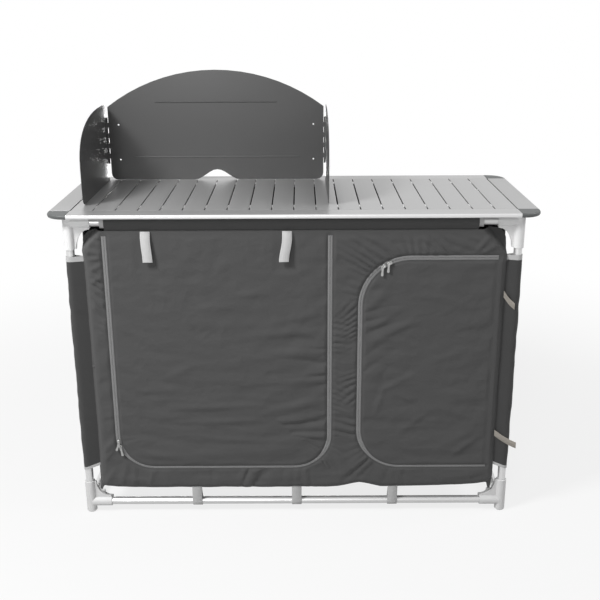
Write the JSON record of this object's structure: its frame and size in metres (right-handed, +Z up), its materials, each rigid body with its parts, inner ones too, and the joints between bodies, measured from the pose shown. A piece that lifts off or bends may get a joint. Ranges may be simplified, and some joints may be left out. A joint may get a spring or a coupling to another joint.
{
  "type": "camp kitchen unit",
  "caption": "Folding camp kitchen: slatted aluminium top on a tube frame, fabric cabinet with zip-outlined doors and shelves, hinged three-panel sheet windscreen",
  "frame": {"origin": "on the ground, under the middle of the top", "axes": "+X along the length to the user's right, -Y towards the user who faces the doors, +Z up"},
  "size_m": [1.17, 0.484, 1.0963],
  "materials": {
    "slat_aluminium": "brushed, anodised grey",
    "rail_aluminium": "bright satin",
    "cap_plastic": "fine grain, dark grey",
    "tube_aluminium": "drawn, bright",
    "fitting_plastic": "moulded, light grey",
    "polyester_cloth": "plain weave, coated inside",
    "grey_webbing": "woven tape",
    "beige_webbing": "woven tape",
    "zip_metal": "die cast, plated",
    "screen_coating": "dark coating, satin",
    "pin_steel": "drawn wire"
  },
  "bodies": {
    "frame": {"leg_front_left": "tube_aluminium", "leg_front_right": "tube_aluminium", "leg_back_left": "tube_aluminium", "leg_back_right": "tube_aluminium", "top_rail_front": "tube_aluminium", "top_rail_back": "tube_aluminium", "top_rail_left": "tube_aluminium", "top_rail_right": "tube_aluminium", "bottom_rail_front": "tube_aluminium", "bottom_rail_back": "tube_aluminium", "bottom_rail_left": "tube_aluminium", "bottom_rail_right": "tube_aluminium", "top_fitting_front_left": "fitting_plastic", "top_fitting_front_right": "fitting_plastic", "top_fitting_back_left": "fitting_plastic", "top_fitting_back_right": "fitting_plastic", "foot_fitting_front_left": "fitting_plastic", "foot_fitting_front_right": "fitting_plastic", "foot_fitting_back_left": "fitting_plastic", "foot_fitting_back_right": "fitting_plastic", "cabinet_front": "polyester_cloth", "cabinet_back": "polyester_cloth", "cabinet_side_left": "polyester_cloth", "cabinet_side_right": "polyester_cloth", "cabinet_floor": "polyester_cloth", "cabinet_divider": "polyester_cloth", "leg_sleeve_front_left": "polyester_cloth", "leg_sleeve_front_right": "polyester_cloth", "leg_sleeve_back_left": "polyester_cloth", "leg_sleeve_back_right": "polyester_cloth", "shelf_left": "polyester_cloth", "shelf_right": "polyester_cloth"},
    "tabletop": {"table_slats": "slat_aluminium", "table_rail_front": "rail_aluminium", "table_rail_back": "rail_aluminium", "table_end_slat_left": "slat_aluminium", "table_end_slat_right": "slat_aluminium", "table_cap_front_left": "cap_plastic", "table_cap_front_right": "cap_plastic", "table_cap_back_left": "cap_plastic", "table_cap_back_right": "cap_plastic"},
    "windscreen": {"windscreen_back": "screen_coating", "windscreen_pin_left": "pin_steel", "windscreen_pin_right": "pin_steel"},
    "wing_left": {"windscreen_wing_left": "screen_coating"},
    "wing_right": {"windscreen_wing_right": "screen_coating"},
    "door_left": {"door_left": "polyester_cloth"},
    "door_right": {"door_right": "polyester_cloth"},
    "door_tie_1": {"door_tie_1": "grey_webbing"},
    "door_tie_2": {"door_tie_2": "grey_webbing"},
    "side_tie_upper": {"side_tie_upper": "beige_webbing"},
    "side_tie_lower": {"side_tie_lower": "beige_webbing"},
    "slider_left_upper": {"zip_slider_left_upper": "zip_metal"},
    "pull_left_upper": {"zip_pull_left_upper": "zip_metal"},
    "slider_left_lower": {"zip_slider_left_lower": "zip_metal"},
    "pull_left_lower": {"zip_pull_left_lower": "zip_metal"},
    "slider_right_lower": {"zip_slider_right_lower": "zip_metal"},
    "pull_right_lower": {"zip_pull_right_lower": "zip_metal"},
    "slider_right_upper": {"zip_slider_right_upper": "zip_metal"},
    "pull_right_upper": {"zip_pull_right_upper": "zip_metal"}
  },
  "joints": [
    {"name": "tabletop_lift", "type": "slide", "parent": "frame", "child": "tabletop", "axis": [0, 0, 1], "range_m": [0, 0.15]},
    {"name": "windscreen_lift", "type": "slide", "parent": "tabletop", "child": "windscreen", "axis": [0, 0, 1], "range_m": [0, 0.15]},
    {"name": "wing_left_fold", "type": "hinge", "parent": "windscreen", "child": "wing_left", "pos_m": [-0.51, 0.192, 0.8003], "axis": [0, 0, 1], "range_deg": [-90, 88]},
    {"name": "wing_right_fold", "type": "hinge", "parent": "windscreen", "child": "wing_right", "pos_m": [0.083, 0.192, 0.8003], "axis": [0, 0, -1], "range_deg": [-90, 84]},
    {"name": "door_left_open", "type": "hinge", "parent": "frame", "child": "door_left", "pos_m": [0, -0.2237, 0.745], "axis": [-1, 0, 0], "range_deg": [0, 110]},
    {"name": "door_right_open", "type": "hinge", "parent": "frame", "child": "door_right", "pos_m": [0.488, -0.2237, 0.41], "axis": [0, 0, 1], "range_deg": [0, 120]},
    {"name": "door_tie_1_lift", "type": "hinge", "parent": "frame", "child": "door_tie_1", "pos_m": [-0.352, -0.2258, 0.7567], "axis": [-1, 0, 0], "range_deg": [0, 110]},
    {"name": "door_tie_2_lift", "type": "hinge", "parent": "frame", "child": "door_tie_2", "pos_m": [-0.016, -0.2258, 0.7567], "axis": [-1, 0, 0], "range_deg": [0, 110]},
    {"name": "side_tie_upper_swing", "type": "hinge", "parent": "frame", "child": "side_tie_upper", "pos_m": [0.505, -0.2258, 0.592], "axis": [0, 0, -1], "range_deg": [0, 60]},
    {"name": "side_tie_lower_swing", "type": "hinge", "parent": "frame", "child": "side_tie_lower", "pos_m": [0.505, -0.2258, 0.222], "axis": [0, 0, -1], "range_deg": [0, 60]},
    {"name": "zip_left_upper_run", "type": "slide", "parent": "frame", "child": "slider_left_upper", "axis": [-0.0027, 0, 1], "range_m": [0, 0.52]},
    {"name": "zip_left_lower_run", "type": "hinge", "parent": "frame", "child": "slider_left_lower", "pos_m": [-0.361, -0.2243, 0.222], "axis": [0, -1, 0], "range_deg": [0, 70]},
    {"name": "zip_right_lower_run", "type": "hinge", "parent": "frame", "child": "slider_right_lower", "pos_m": [0.2805, -0.2243, 0.569], "axis": [0, -1, 0], "range_deg": [0, 56]},
    {"name": "zip_right_upper_run", "type": "hinge", "parent": "frame", "child": "slider_right_upper", "pos_m": [0.2805, -0.2243, 0.569], "axis": [0, 1, 0], "range_deg": [0, 25]},
    {"name": "pull_left_upper_swing", "type": "hinge", "parent": "slider_left_upper", "child": "pull_left_upper", "pos_m": [-0.44908, -0.2288, 0.20322], "axis": [0, 1, 0], "range_deg": [-6, 40]},
    {"name": "pull_left_lower_swing", "type": "hinge", "parent": "slider_left_lower", "child": "pull_left_lower", "pos_m": [-0.44505, -0.2288, 0.18967], "axis": [0, 1, 0], "range_deg": [-40, 6]},
    {"name": "pull_right_lower_swing", "type": "hinge", "parent": "slider_right_lower", "child": "pull_right_lower", "pos_m": [0.2116, -0.2288, 0.6673], "axis": [0, 1, 0], "range_deg": [-8, 52]},
    {"name": "pull_right_upper_swing", "type": "hinge", "parent": "slider_right_upper", "child": "pull_right_upper", "pos_m": [0.22595, -0.2288, 0.67593], "axis": [0, 1, 0], "range_deg": [-38, 22]}
  ],
  "couplings": [
    {"joint": "door_tie_1_lift", "follows": "door_left_open", "ratio": 1},
    {"joint": "door_tie_2_lift", "follows": "door_left_open", "ratio": 1}
  ]
}
